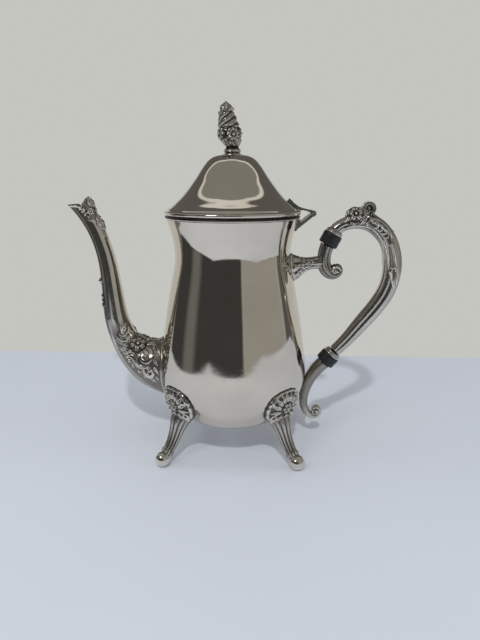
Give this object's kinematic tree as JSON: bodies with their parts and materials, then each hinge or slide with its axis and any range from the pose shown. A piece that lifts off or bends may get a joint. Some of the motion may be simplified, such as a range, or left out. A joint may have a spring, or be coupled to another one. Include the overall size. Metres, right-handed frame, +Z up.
{
  "type": "coffee pot",
  "caption": "Footed pear-shaped coffee pot in plated metal with a hinged bell lid, floral finial, cast swan-neck spout, insulated scroll handle and ball feet.",
  "frame": {"origin": "on the standing surface, under the axis of the body", "axes": "+Z up, +X towards the handle, -X towards the spout, the XZ plane is the mirror plane"},
  "size_m": [0.2571, 0.1186, 0.265],
  "materials": {
    "silver_plate": "polished silver plate on spun sheet",
    "silver_cast": "polished silver plate on castings, dark in the recesses of the ornament",
    "insulator": "black heat-insulating bush, half matt",
    "steel_pin": "drawn pin stock",
    "brass_fixing": "turned, unplated"
  },
  "bodies": {
    "pot": {"body_shell": "silver_plate", "base_disc": "silver_plate", "mouth_wire": "silver_plate", "spout_near_half": "silver_cast", "spout_far_half": "silver_cast", "hinge_body_leaf": "silver_plate", "hinge_pin": "steel_pin", "handle_upper_bracket": "silver_cast", "upper_insulator": "insulator", "handle_grip": "silver_cast", "lower_insulator": "insulator", "handle_lower_socket": "silver_cast", "insulator_pins": "steel_pin", "foot_front_left": "silver_cast", "foot_front_right": "silver_cast", "foot_rear_left": "silver_cast", "foot_rear_right": "silver_cast"},
    "lid": {"lid_shell": "silver_plate", "lid_collar": "silver_plate", "finial": "silver_cast", "finial_stud": "brass_fixing", "finial_washer": "brass_fixing", "finial_nut": "brass_fixing", "hinge_lid_leaf": "silver_plate"}
  },
  "joints": [
    {"name": "lid_hinge", "type": "hinge", "parent": "pot", "child": "lid", "pos_m": [0.0604, 0, 0.1869], "axis": [0, 1, 0], "range_deg": [0, 105]}
  ]
}
